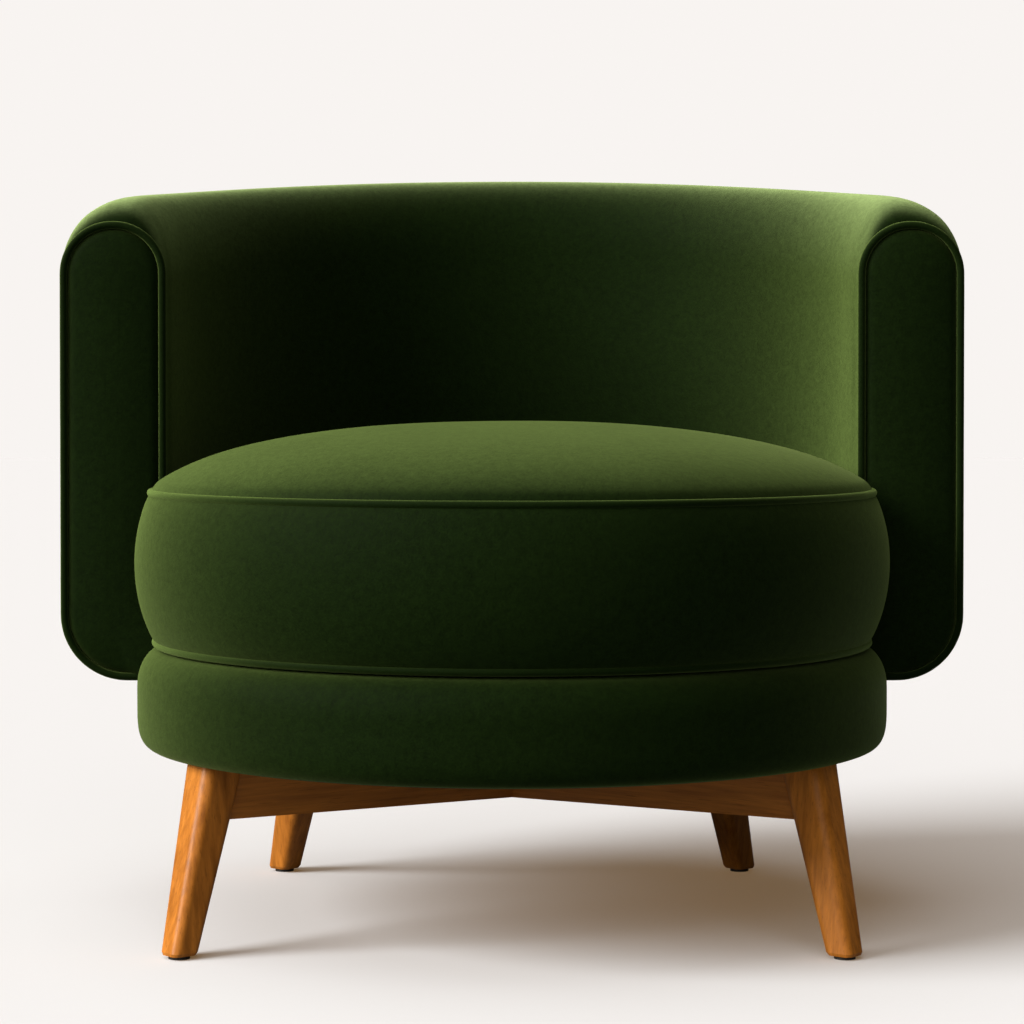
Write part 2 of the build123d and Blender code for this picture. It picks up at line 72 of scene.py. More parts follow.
class ChairSizes(bpy.types.PropertyGroup):
    """Sizes that the soft pieces are built from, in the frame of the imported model"""

    wall_outer: length("Wall outside", "Radius of the outside of the wall", 0.408)
    wall_inner: length("Wall inside", "Radius of the inside of the wall", 0.312)
    wall_axis: length("Wall axis", "Place of the wall's upright axis, front to back", -0.0275)
    arm_height: length("Arm height", "Height of the arm fronts", 0.630)
    back_height: length("Back height", "Height of the wall at the back", 0.684)
    wall_bottom: length("Wall bottom", "Height of the underside of the wall", 0.2092)
    roll_outer: length("Outer roll", "Radius of the outer side of the roll on top of the wall", 0.054)
    roll_inner: length("Inner roll", "Radius of the inner side of the roll on top of the wall", 0.038)
    roll_over: length("Roll over", "How far the roll stands over the arm fronts", 0.006)
    roll_fall: length("Roll fall", "How far the roll falls at its front edge", 0.0085)
    foot_round: length("Foot round", "Radius of the outer lower edge of the wall", 0.060)
    roll_puff: length("Roll puff", "How far the roll swells up behind the arm fronts", 0.0205)
    inner_tuck: length("Inner tuck", "How far the inside of the wall draws in behind the arm fronts", 0.0045)
    seat_axis: length("Seat axis", "Place of the seat's upright axis, front to back", -0.0415)
    base_radius: length("Base radius", "Radius of the upholstered base", 0.334)
    base_foot: length("Base foot", "Radius of the base where it meets its panel", 0.315)
    base_lip: length("Base lip", "Radius where the base turns in under the cushion", 0.311)
    base_top: length("Base top", "Height of the deck under the cushion", 0.2442)
    base_bottom: length("Base bottom", "Height of the lower edge of the base velvet", 0.1570)
    base_roll: length("Base roll", "Height of the rounded lower edge of the base", 0.0340)
    base_crest: length("Base crest", "Height of the rounded upper edge of the base", 0.0340)
    deck_radius: length("Deck radius", "Radius of the deck cloth", 0.3017)
    seam_radius: length("Seam radius", "Radius of the cushion at its seams", 0.322)
    rear_radius: length("Rear radius", "Radius of the cushion between the arms", 0.3085)
    cushion_bulge: length("Bulge", "How far the boxing stands out between its seams", 0.017)
    lower_tuck: length("Lower tuck", "How far the lower seam turns in under the boxing", 0.0040)
    cushion_top: length("Seat height", "Height of the middle of the seat", 0.4440)
    seam_upper: length("Upper seam", "Height of the upper cushion seam", 0.381)
    seam_lower: length("Lower seam", "Height of the lower cushion seam", 0.249)
    cushion_bottom: length("Cushion bottom", "Height of the underside of the cushion", 0.2445)
    piping: length("Piping", "Diameter of the piping", 0.007)
    zip_radius: length("Zip radius", "Outside of the zip tape, from the wall axis", 0.30945)
    zip_height: length("Zip height", "Height of the zip tape", 0.022)


class ChairFinish(bpy.types.PropertyGroup):
    """Colours of the chair, linear"""

    velvet_deep: colour("Velvet, deep", "Velvet where the pile leans away", (0.0030, 0.0068, 0.0010))
    velvet_open: colour("Velvet, open", "Velvet where the pile leans to the light", (0.0070, 0.0158, 0.0023))
    # Painted sheen: the light colour mixed in where the velvet is seen at a grazing angle
    velvet_painted_sheen: colour("Velvet tips", "Velvet seen across the pile", (0.150, 0.217, 0.054))
    velvet_sheen: colour("Velvet sheen", "Tint of the sheen", (0.82, 1.00, 0.36))
    wood_light: colour("Wood, light", "Early wood of the frame", (0.62, 0.212, 0.026))
    wood_dark: colour("Wood, dark", "Late wood of the frame", (0.28, 0.085, 0.007))
    panel_edge: colour("Panel edge", "Stained edge of the base panel", (0.135, 0.060, 0.022))
    raw_wood: colour("Inner wood", "Unfinished wood inside", (0.52, 0.37, 0.20))
    foam: colour("Foam", "Padding", (0.62, 0.56, 0.42))
    cloth: colour("Deck cloth", "Cloth under the cushion", (0.018, 0.020, 0.017))
    metal: colour("Metal", "Plated steel", (0.52, 0.50, 0.46))


class ChairStage(bpy.types.PropertyGroup):
    """Camera, light and floor"""

    camera_y: length("Camera", "Place of the camera, front to back", -2.6415)
    camera_z: length("Camera height", "Height of the camera", 0.470)
    camera_lens: amount("Lens", "Focal length in millimetres, for a sensor 36 mm wide", 101.95)
    camera_pitch: angle("Pitch", "How far the camera looks down", 1.19)
    camera_shift: amount("Shift", "How far the frame is moved up, as a share of its width", -0.0584)
    key_turn: angle("Key turn", "Key light, round from the camera to the left", 68.0)
    key_rise: angle("Key rise", "Key light, up from the floor", 29.0)
    key_size: angle("Key size", "How wide the key light looks", 34.0)
    key_power: amount("Key power", "Strength of the key light", 4.9)
    top_turn: angle("Top turn", "Top light, round from the camera to the left", 110.0)
    top_rise: angle("Top rise", "Top light, up from the floor", 75.0)
    top_size: angle("Top size", "How wide the top light looks", 60.0)
    top_power: amount("Top power", "Strength of the top light", 1.2)
    front_turn: angle("Front turn", "Front light, round from the camera to the left", 10.0)
    front_rise: angle("Front rise", "Front light, up from the floor", 35.0)
    front_size: angle("Front size", "How wide the front light looks", 60.0)
    front_power: amount("Front power", "Strength of the weak light beside the camera", 0.8)
    fill_power: amount("Fill", "Strength of the room light", 0.022)
    shade: colour("Shade", "Colour of the deepest shadow on the floor", (0.142, 0.082, 0.033))
    floor_bounce: amount("Floor bounce", "Share of the floor's light that reaches the chair", 0.35)
    paper: colour("Paper", "Backdrop and floor", (0.939, 0.905, 0.880))


class Wire:
    """An output of a node tree, so that node maths reads as plain sums"""

    def __init__(self, tree, socket=None):
        self.tree = tree
        self.socket = socket

    def node(self, kind, settings, inputs, output=0):
        """Adds a node of any kind: its settings first, then its inputs"""
        made = self.tree.nodes.new(kind)
        for key, value in settings.items():
            setattr(made, key, value)
        for key, value in inputs.items():
            if isinstance(value, Wire):
                self.tree.links.new(value.socket, made.inputs[key])
            else:
                made.inputs[key].default_value = value
        return Wire(self.tree, made.outputs[output])

    def other(self, output):
        """Another output of the same node"""
        return Wire(self.tree, self.socket.node.outputs[output])

    def maths(self, operation, first, second, clamp=False):
        settings = {"operation": operation, "use_clamp": clamp}
        return self.node("ShaderNodeMath", settings, {0: first, 1: second})

    def __add__(self, other):
        return self.maths("ADD", self, other)

    def __radd__(self, other):
        return self.maths("ADD", other, self)

    def __sub__(self, other):
        return self.maths("SUBTRACT", self, other)

    def __rsub__(self, other):
        return self.maths("SUBTRACT", other, self)

    def __mul__(self, other):
        return self.maths("MULTIPLY", self, other)

    def __rmul__(self, other):
        return self.maths("MULTIPLY", other, self)

    def __pow__(self, other):
        return self.maths("POWER", self, other)

    def __rpow__(self, other):
        return self.maths("POWER", other, self)

    def clamped(self):
        return self.maths("ADD", self, 0.0, clamp=True)

    def step(self, low, high):
        """Smooth step from 0 at low to 1 at high"""
        settings = {"interpolation_type": "SMOOTHSTEP"}
        inputs = {"Value": self, "From Min": low, "From Max": high}
        return self.node("ShaderNodeMapRange", settings, inputs)

    def between(self, low, high):
        """Mix of two colours by this value"""
        settings = {"data_type": "RGBA", "clamp_factor": True}
        inputs = {0: self, 6: opaque(low), 7: opaque(high)}
        return self.node("ShaderNodeMix", settings, inputs, 2)

    def places(self):
        return self.node("ShaderNodeTexCoord", {}, {}, "Object")

    def stretched(self, scale):
        return self.node("ShaderNodeMapping", {"vector_type": "POINT"}, {"Vector": self, "Scale": scale})

    def noise(self, scale, detail=2.0, rough=0.5, warp=0.0):
        inputs = {"Vector": self, "Scale": scale, "Detail": detail, "Roughness": rough, "Distortion": warp}
        return self.node("ShaderNodeTexNoise", {"noise_dimensions": "3D"}, inputs, "Fac")

    def cells(self, scale):
        inputs = {"Vector": self, "Scale": scale}
        return self.node("ShaderNodeTexVoronoi", {"feature": "F1"}, inputs, "Distance")

    def bands(self, scale, axis, warp=0.0):
        settings = {"wave_type": "BANDS", "bands_direction": axis, "wave_profile": "SIN"}
        inputs = {"Vector": self, "Scale": scale, "Distortion": warp}
        return self.node("ShaderNodeTexWave", settings, inputs, "Fac")

    def bump(self, strength, distance):
        inputs = {"Strength": strength, "Distance": distance, "Height": self}
        return self.node("ShaderNodeBump", {}, inputs)


def opaque(value):
    """A colour with its alpha; a wire stays as it is"""
    return value if isinstance(value, Wire) else (*value, 1.0)


def shaded(tint, share):
    """A colour made darker or lighter"""
    return [c * share for c in tint]


def new_material(name):
    """Material with a plain Principled shader; gives material, shader and a start for node maths"""
    material = bpy.data.materials.new(name)
    material.use_nodes = True
    tree = material.node_tree
    shader = tree.nodes["Principled BSDF"]
    return material, shader, Wire(tree)


def feed(shader, **inputs):
    """Links or sets inputs of a shader, named with underscores"""
    for key, value in inputs.items():
        socket = shader.inputs[key.replace("_", " ")]
        if isinstance(value, Wire):
            value.tree.links.new(value.socket, socket)
        else:
            socket.default_value = value


def velvet(name, finish, nap_scale, relief, painted_sheen=1.0, falloff=2.7, painted_top_light=0.0):
    """Short pile: dark where it is seen face on, with a painted sheen, a lighter colour mixed into the base
    colour where the surface turns away from the view; the painted top light makes it lighter still on faces
    that point up"""
    material, shader, wire = new_material(name)
    place = wire.places()
    nap = place.noise(nap_scale, 3.0, 0.65)
    tuft = place.noise(nap_scale * 0.33, 2.0, 0.5)
    brush = place.stretched((1.0, 1.0, 0.55)).noise(6.0, 3.0, 0.55, 0.6)
    lean = ((brush - 0.5) * 0.55 + (nap - 0.5) * 1.5 + (tuft - 0.5) * 0.9 + 0.5).clamped()

    def sheen_with_grain(tint):
        return lean.between(shaded(tint, 0.72), shaded(tint, 1.28))

    face_on = lean.between(finish.velvet_deep, finish.velvet_open)
    painted_sheen_tint = shaded(finish.velvet_painted_sheen, painted_sheen)
    painted_sheen_colour = sheen_with_grain(painted_sheen_tint)
    # Painted top light: the painted sheen is lighter on faces that point up
    if painted_top_light:
        top_lit_sheen = [c * (1 + painted_top_light * pale) for c, pale in zip(painted_sheen_tint, (1.0, 0.88, 1.6))]
        facing_up = wire.node("ShaderNodeAttribute", {"attribute_name": "pile"}, {}, "Fac")
        painted_sheen_colour = facing_up.between(painted_sheen_colour, sheen_with_grain(top_lit_sheen))
    # Painted sheen: Layer Weight facing mixes the light colour into Base Color as the surface turns from the
    # view
    turn = wire.node("ShaderNodeLayerWeight", {}, {"Blend": 0.5}, "Facing")
    base = (turn ** falloff).between(face_on, painted_sheen_colour)
    rough = (0.66 + (nap - 0.5) * 0.22 + (brush - 0.5) * 0.12).clamped()
    height = nap * 0.7 + tuft * 0.5 + brush * 0.15
    feed(shader, Base_Color=base, Roughness=rough, Normal=height.bump(relief, 0.0012))
    feed(shader, Sheen_Weight=0.08, Sheen_Roughness=0.30, Specular_IOR_Level=0.02)
    feed(shader, Sheen_Tint=opaque(finish.velvet_sheen))
    return material


# How light the painted sheen is, how fast it shows as the velvet turns from the view, and how much painted
# top light it gets; each copy is set for how light falls on it
PAINTED_SHEEN_SETS = {"cover": (0.64, 2.7, 0.0), "wall": (0.95, 2.1, 1.9), "seat": (0.60, 1.8, 0.0)}


def velvet_of(context, nap="cover"):
    """The one velvet of the covers, in copies whose painted sheen and painted top light differ on the wall
    and on top of the seat
    """
    name = f"velvet_{nap}"
    return bpy.data.materials.get(name) or velvet(
        name, context.scene.chair_finish, 520.0, 0.30, *PAINTED_SHEEN_SETS[nap])


def wood(name, finish, turn, lengthwise, shift):
    """Oiled wood, its grain running along one axis of a turned frame"""
    material, shader, wire = new_material(name)
    place = wire.node(
        "ShaderNodeMapping", {"vector_type": "POINT"},
        {"Vector": wire.places(), "Rotation": turn, "Location": shift},
    )
    fine = [1.0, 1.0, 1.0]
    fine[lengthwise] = 0.045
    coarse = [1.0, 1.0, 1.0]
    coarse[lengthwise] = 0.10
    rings = place.stretched(coarse).noise(46.0, 4.0, 0.55, 1.2)
    streak = place.stretched(fine).noise(240.0, 3.0, 0.6)
    pores = place.stretched(fine).noise(900.0, 2.0, 0.5)
    drift = place.noise(5.0, 2.0, 0.5)
    tone = ((rings - 0.5) * 1.2 + (streak - 0.5) * 1.5 + (drift - 0.5) * 0.5 + 0.55).clamped()
    pore = pores.step(0.60, 0.74)
    plain = tone.between(finish.wood_dark, finish.wood_light)
    base = (pore * 0.45).between(plain, shaded(finish.wood_dark, 0.45))
    rough = (0.40 + (streak - 0.5) * 0.20 + pore * 0.16).clamped()
    height = streak * 0.4 + rings * 0.35 - pore * 0.5
    feed(shader, Base_Color=base, Roughness=rough, Normal=height.bump(0.16, 0.0008))
    feed(shader, Specular_IOR_Level=0.20, Coat_Weight=0.02, Coat_Roughness=0.35)
    return material


def plywood(name, light, dark, layer):
    """Sheet or solid timber inside the chair, with layers across its thickness"""
    material, shader, wire = new_material(name)
    place = wire.places()
    plies = place.bands(layer, "Z", 0.8)
    fibre = place.stretched((1.0, 1.0, 6.0)).noise(90.0, 4.0, 0.6)
    stain = place.noise(9.0, 2.0, 0.5)
    tone = ((plies - 0.5) * 0.5 + (fibre - 0.5) * 0.9 + (stain - 0.5) * 0.5 + 0.5).clamped()
    rough = (0.58 + (fibre - 0.5) * 0.25).clamped()
    feed(shader, Base_Color=tone.between(dark, light), Roughness=rough)
    feed(shader, Normal=(fibre * 0.6 + plies * 0.3).bump(0.2, 0.0006), Specular_IOR_Level=0.35)
    return material


def foam(name, finish):
    """Open-celled padding"""
    material, shader, wire = new_material(name)
    place = wire.places()
    cell = place.cells(420.0)
    blotch = place.noise(12.0, 3.0, 0.5)
    tone = (0.35 + cell * 0.5 + (blotch - 0.5) * 0.5).clamped()
    dark = shaded(finish.foam, 0.62)
    feed(shader, Base_Color=tone.between(dark, finish.foam), Roughness=(0.85 + cell * 0.1).clamped())
    feed(shader, Normal=cell.bump(0.5, 0.0015), Sheen_Weight=0.15)
    return material


def woven(name, low, high, pitch, relief):
    """Plain weave of two crossing threads, with a little unevenness"""
    material, shader, wire = new_material(name)
    place = wire.places()
    warp = place.bands(pitch, "X", 0.25)
    weft = place.bands(pitch, "Y", 0.25)
    upright = place.bands(pitch, "Z", 0.25)
    thread = warp * 0.4 + weft * 0.35 + upright * 0.25
    slub = place.noise(60.0, 3.0, 0.6)
    tone = (thread * 0.8 + (slub - 0.5) * 0.5).clamped()
    feed(shader, Base_Color=tone.between(low, high), Roughness=(0.78 + (slub - 0.5) * 0.2).clamped())
    feed(shader, Normal=thread.bump(relief, 0.0008), Sheen_Weight=0.2, Specular_IOR_Level=0.2)
    return material


def plated(name, tint, rough, grime):
    """Plated or cast metal with fine scuffs"""
    material, shader, wire = new_material(name)
    place = wire.places()
    scuff = place.stretched((1.0, 1.0, 0.12)).noise(600.0, 3.0, 0.6)
    cloud = place.noise(40.0, 3.0, 0.55)
    tone = ((scuff - 0.5) * 0.5 + (cloud - 0.5) * 0.7 + 0.55).clamped()
    feed(shader, Base_Color=tone.between(shaded(tint, grime), tint))
    feed(shader, Roughness=(rough + (scuff - 0.5) * 0.25).clamped(), Normal=scuff.bump(0.12, 0.0003))
    feed(shader, Metallic=1.0)
    return material


def moulded(name, low, high):
    """Dark moulded plastic with a fine grain"""
    material, shader, wire = new_material(name)
    place = wire.places()
    grain = place.cells(1400.0)
    dust = place.noise(70.0, 3.0, 0.55)
    feed(shader, Base_Color=dust.between(low, high), Roughness=(0.48 + (dust - 0.5) * 0.3).clamped())
    feed(shader, Normal=grain.bump(0.15, 0.0003), Specular_IOR_Level=0.4)
    return material


# Outlines of the upholstery

def arc(x, z, wide, high, start, end, count):
    """Points of an upright arc or quarter ellipse, both ends included"""
    points = []
    for i in range(count + 1):
        turn = math.radians(start + (end - start) * i / count)
        points.append((x + wide * math.cos(turn), z + high * math.sin(turn)))
    return points


def run(first, last, count, ends=True):
    """Points of a straight run after its first point; ends says whether the last point is kept"""
    stop = count + 1 if ends else count
    return [tuple(a + (b - a) * i / count for a, b in zip(first, last)) for i in range(1, stop)]


def offset_circle(sizes, radius, turn):
    """A circle round the seat axis, as a distance from the wall axis in a direction turned from the back; or
    a circle round the wall axis, as a distance from the seat axis in a direction turned from the front"""
    setoff = sizes.wall_axis - sizes.seat_axis
    return math.sqrt(radius ** 2 - (setoff * math.sin(turn)) ** 2) - setoff * math.cos(turn)


def wall_slope(sizes):
    """Rise of the wall top towards the back"""
    return (sizes.back_height - sizes.arm_height) / (sizes.wall_outer - sizes.roll_outer)


def wall_section(sizes, turn, rise, inset, seam, tuck=0.0, panel=False):
    """Closed section of the wall in one upright plane, from the deck up the inside, over the roll and back
    under; gives its points and how many come before it meets the base. The tuck draws the inside in towards
    the arm fronts, seam is the depth of the outer seam, and the panel of an arm front has an even arch"""
    lean = wall_slope(sizes) * math.cos(turn)
    tilt = math.degrees(math.atan(lean))
    steep = math.sqrt(1 + lean ** 2)
    inner = sizes.wall_inner + inset + tuck
    outer = sizes.wall_outer - inset
    middle = 0.5 * (inner + outer)
    low = sizes.wall_bottom + inset
    near = 0.49 * (outer - inner) if panel else sizes.roll_inner - inset - tuck
    far = near if panel else sizes.roll_outer - inset
    foot = sizes.foot_round - inset
    gap = 0.0006
    side = offset_circle(sizes, sizes.base_radius, turn) + gap
    lip = offset_circle(sizes, sizes.base_lip, turn)
    crest = sizes.base_crest
    ledge = sizes.base_top - crest
    first = math.degrees(math.asin(min(1.0, max(0.0, (low - ledge) / (crest + gap)))))
    last = 90.0 if lip >= inner else math.degrees(math.acos(min(1.0, (inner - lip) / (side - lip))))
    shelf = arc(lip, ledge, side - lip, crest + gap, first, last, 6)

    def centre(radius, bend):
        return rise + lean * (radius - middle) - (inset + bend) * steep

    start = (inner, shelf[-1][1])
    points = [start]
    rise_share = 1.0 if panel else 2.0
    rest = math.atan(lean / rise_share)
    spare = 0.0005
    room = outer - far * (1 + math.sin(math.radians(tilt))) - inner - spare
    near = min(near, room / (1 - math.sin(rest)))
    tall = rise_share * near
    meet = inner + near * (1 - math.sin(rest))
    level = centre(meet, 0.0) - tall * math.cos(rest)
    inside = arc(inner + near, level, near, tall, 180.0, 90.0 + math.degrees(rest), 16)
    outside = arc(outer - far, centre(outer - far, far), far, far, 90.0 + tilt, 0.0, 16)
    points += run(start, inside[0], 26, False) + inside + outside
    knee = (outer, low + foot)
    join = outside[-1][1] - 0.2 * sizes.roll_outer
    beside = 0.004
    groove = ((0.0022, 0.25), (0.0010, 0.75), (0.0, 1.0), (-0.0010, 0.75), (-0.0022, 0.25))
    points += run(outside[-1], (outer, join + beside), 3)
    points += [(outer - depth * seam, join + drop) for drop, depth in groove]
    points += run((outer, join - beside), knee, 26, False)
    points += arc(outer - foot, low + foot, foot, foot, 0.0, -90.0, 14)
    corner = (shelf[0][0], low)
    points += run((outer - foot, low), corner, 4)
    before_base = len(points)
    points += run(corner, shelf[0], 3, False) + shelf
    return points, before_base


def arm_arch(sizes, inset):
    """Section of an arm front, and how many of its points come before it meets the base"""
    return wall_section(sizes, math.pi / 2, sizes.arm_height - sizes.roll_over, inset, 0.0, panel=True)


def seat_turn(share):
    """Direction of a point round the seat, from the front; points crowd together at the shoulders"""
    even = 2 * math.pi * share
    crowd = 0.36
    return even + crowd * math.sin(2 * even)


def shoulder(turn, start=88.9, width=3.2):
    """0 in front of the arms and 1 between them, for a direction from the front of the seat"""
    side = abs((math.degrees(turn) + 180.0) % 360.0 - 180.0)
    t = min(1.0, max(0.0, (side - start) / width))
    return t * t * (3 - 2 * t)


def seam_reach(sizes, turn, front, rear):
    """Plan of the cushion at a seam, as a distance from the seat axis"""
    share = shoulder(turn)
    return front * (1 - share) + offset_circle(sizes, rear, turn) * share


def seat_point(sizes, turn, reach, z):
    """A place given by its direction and distance from the seat axis, and its height"""
    return Vector((reach * math.sin(turn), sizes.seat_axis - reach * math.cos(turn), z))


# Meshes

def piece(name, verts, faces, materials):
    """Smooth mesh object with outward normals, at the origin"""
    mesh = bpy.data.meshes.new(name)
    mesh.from_pydata(verts, [], faces)
    tidy = bmesh.new()
    tidy.from_mesh(mesh)
    bmesh.ops.remove_doubles(tidy, verts=tidy.verts, dist=1e-6)
    bmesh.ops.recalc_face_normals(tidy, faces=tidy.faces)
    for face in tidy.faces:
        face.smooth = True
    tidy.to_mesh(mesh)
    tidy.free()
    made = bpy.data.objects.new(name, mesh)
    bpy.context.scene.collection.objects.link(made)
    for material in materials:
        mesh.materials.append(material)
    return made


def skin(rings, closed_run):
    """Faces over a list of closed rings of equal length"""
    count = len(rings[0])
    faces = []
    for i in range(len(rings) if closed_run else len(rings) - 1):
        here = i * count
        there = ((i + 1) % len(rings)) * count
        for j in range(count):
            k = (j + 1) % count
            faces.append((here + j, here + k, there + k, there + j))
    return faces


def capped(rings):
    """Points and faces of a body over a list of rings, with a face over each end"""
    verts = [p for ring in rings for p in ring]
    count = len(rings[0])
    ends = [tuple(range(count)), tuple(range(len(verts) - count, len(verts)))]
    return verts, skin(rings, False) + ends


def declare(made, body, slot, *nodes):
    """Hands a finished piece to the frame"""
    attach(made, body)
    if nodes:
        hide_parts(*nodes)


def dress(material, *nodes):
    """Gives CAD nodes a material"""
    for name in nodes:
        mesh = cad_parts[name].data
        mesh.materials.clear()
        mesh.materials.append(material)


def mark_painted_top_light(made):
    """Notes on each point how far it faces up, for the painted top light of the velvet"""
    pile = made.data.attributes.new("pile", "FLOAT", "POINT")
    pile.data.foreach_set("value", [max(0.0, v.normal.z) for v in made.data.vertices])


def uneven(point, scale, seed):
    """Soft unevenness from -1 to 1, the same every run"""
    return noise.noise(point * scale + Vector((seed, 2.0 * seed, 3.0 * seed)))


# Geometry Nodes

def new_tree(name, **kinds):
    """Node group on a geometry and other inputs; gives a start for node maths, and the inputs by name"""
    tree = bpy.data.node_groups.new(name, "GeometryNodeTree")
    tree.interface.new_socket("Geometry", in_out="INPUT", socket_type="NodeSocketGeometry")
    for key, kind in kinds.items():
        tree.interface.new_socket(key, in_out="INPUT", socket_type=f"NodeSocket{kind}")
    tree.interface.new_socket("Geometry", in_out="OUTPUT", socket_type="NodeSocketGeometry")
    start = tree.nodes.new("NodeGroupInput")
    return Wire(tree), {key: Wire(tree, start.outputs[key]) for key in ("Geometry", *kinds)}


def end_tree(shape, material):
    """Ends a node group with real geometry in its material, and gives the group"""
    real = shape.node("GeometryNodeRealizeInstances", {}, {"Geometry": shape})
    paint = shape.node("GeometryNodeSetMaterial", {}, {"Geometry": real, "Material": material})
    end = shape.tree.nodes.new("NodeGroupOutput")
    shape.tree.links.new(paint.socket, end.inputs["Geometry"])
    return shape.tree


def piping_tree():
    """Node group that lays a round, slightly uneven piping along a curve"""
    wire, given = new_tree(
        "Piping", Radius="Float", Unevenness="Float", Seed="Float", Spacing="Float", Material="Material"
    )
    even = wire.node(
        "GeometryNodeResampleCurve", {"mode": "LENGTH"},
        {"Curve": given["Geometry"], "Length": given["Spacing"]},
    )
    wobble = wire.node("ShaderNodeTexNoise", {"noise_dimensions": "4D"}, {"W": given["Seed"], "Scale": 28.0})
    swing = (wobble - 0.5) * given["Unevenness"] + 1.0
    width = wire.node("GeometryNodeSetCurveRadius", {}, {"Curve": even, "Radius": swing})
    profile = wire.node(
        "GeometryNodeCurvePrimitiveCircle", {}, {"Resolution": 14, "Radius": given["Radius"]}
    )
    scale = wire.node("GeometryNodeInputRadius", {}, {})
    tube = wire.node(
        "GeometryNodeCurveToMesh", {},
        {"Curve": width, "Profile Curve": profile, "Scale": scale, "Fill Caps": True},
    )
    smooth = wire.node("GeometryNodeSetShadeSmooth", {}, {"Geometry": tube})
    return end_tree(smooth, given["Material"])


def teeth_tree():
    """Node group that sets zip teeth along curves"""
    wire, given = new_tree("ZipTeeth", Pitch="Float", Tooth="Vector", Material="Material")
    spots = wire.node(
        "GeometryNodeCurveToPoints", {"mode": "LENGTH"},
        {"Curve": given["Geometry"], "Length": given["Pitch"]}, "Points",
    )
    tooth = wire.node("GeometryNodeMeshCube", {}, {"Size": given["Tooth"]}, "Mesh")
    soft = wire.node("GeometryNodeSubdivisionSurface", {}, {"Mesh": tooth, "Level": 1})
    place = wire.node(
        "GeometryNodeInstanceOnPoints", {},
        {"Points": spots, "Instance": soft, "Rotation": spots.other("Rotation")},
    )
    return end_tree(place, given["Material"])


def follow(name, tree, paths, closed, settings):
    """Runs a node group along paths and gives the plain mesh that it makes"""
    curve = bpy.data.curves.new(name + ".path", "CURVE")
    curve.dimensions = "3D"
    for path in paths:
        spline = curve.splines.new("POLY")
        spline.points.add(len(path) - 1)
        for point, place in zip(spline.points, path):
            point.co = (*place, 1.0)
        spline.use_cyclic_u = closed
    route = bpy.data.objects.new(name + ".path", curve)
    bpy.context.scene.collection.objects.link(route)
    modifier = route.modifiers.new("Nodes", "NODES")
    modifier.node_group = tree
    for item in tree.interface.items_tree:
        if item.item_type == "SOCKET" and item.in_out == "INPUT" and item.name in settings:
            modifier[item.identifier] = settings[item.name]
    bpy.context.view_layer.update()
    graph = bpy.context.evaluated_depsgraph_get()
    mesh = bpy.data.meshes.new_from_object(route.evaluated_get(graph))
    mesh.name = name
    bpy.data.objects.remove(route)
    made = bpy.data.objects.new(name, mesh)
    bpy.context.scene.collection.objects.link(made)
    return made


def group(maker, name):
    """The node group of that name, made at its first use"""
    return bpy.data.node_groups.get(name) or maker()


# Cloth

def spread_round(ring, before, moves):
    """Evens the swell of a closed ring of points over a quarter of it to each side; a point counts by the
    room that it has"""
    count = len(ring)
    quarter = count // 4
    middle = sum((before[i] for i in ring), Vector()) / count
    outward = []
    weights = []
    for n, i in enumerate(ring):
        out = before[i] - middle
        out.z = 0.0
        outward.append(out.normalized())
        weights.append((before[ring[(n + 1) % count]] - before[ring[n - 1]]).length_squared)
    push = [weight * moves[i].dot(out) for weight, i, out in zip(weights, ring, outward)]
    rise = [weight * moves[i].z for weight, i in zip(weights, ring)]
    for n, i in enumerate(ring):
        span = [(n + step) % count for step in range(-quarter, quarter + 1)]
        total = sum(weights[s] for s in span)
        moves[i] = outward[n] * (sum(push[s] for s in span) / total)
        moves[i].z = sum(rise[s] for s in span) / total


def inflate(made, pinned, pressure, cap, limit, rings):
    """Swells a pad with the cloth solver. The moves are smoothed, evened round each ring and scaled there to
    the cap, and no other point moves further. The first ring is the point in the middle, and limit keeps the
    pad off its neighbours"""
    frames, rounds = 20, 12
    mesh = made.data
    before = [v.co.copy() for v in mesh.vertices]
    pins = made.vertex_groups.new(name="Pins")
    pins.add(pinned, 1.0, "REPLACE")
    cloth = made.modifiers.new("Cloth", "CLOTH")
    settings = cloth.settings
    settings.quality = 6
    settings.mass = 0.35
    settings.tension_stiffness = 5.0
    settings.compression_stiffness = 5.0
    settings.shear_stiffness = 2.0
    settings.bending_stiffness = 1.0
    settings.use_pressure = True
    settings.uniform_pressure_force = pressure
    settings.vertex_group_mass = "Pins"
    settings.effector_weights.gravity = 0.0
    cloth.collision_settings.use_collision = False
    cloth.point_cache.frame_start = 1
    cloth.point_cache.frame_end = frames
    scene = bpy.context.scene
    for step in range(1, frames + 1):
        scene.frame_set(step)
    graph = bpy.context.evaluated_depsgraph_get()
    solved = made.evaluated_get(graph).data
    after = [v.co.copy() for v in solved.vertices]
    made.modifiers.remove(cloth)
    made.vertex_groups.remove(pins)
    scene.frame_set(1)
    moves = [new - old for old, new in zip(before, after)]
    near = [[] for _ in before]
    for edge in mesh.edges:
        first, second = edge.vertices
        near[first].append(second)
        near[second].append(first)
    held = set(pinned)
    for _ in range(rounds):
        eased = list(moves)
        for i, move in enumerate(moves):
            if i not in held:
                total = sum((moves[n] for n in near[i]), Vector())
                eased[i] = 0.4 * move + 0.6 * total / len(near[i])
        moves = eased
    for ring in rings[1:]:
        spread_round(ring, before, moves)
    crowned = [i for ring in rings for i in ring]
    ease = cap / max(moves[i].length for i in crowned)
    for i in crowned:
        moves[i] = moves[i] * ease
    for vertex, old, move in zip(mesh.vertices, before, moves):
        if move.length > cap:
            move = move * (cap / move.length)
        vertex.co = limit(old + move)
    mesh.update()


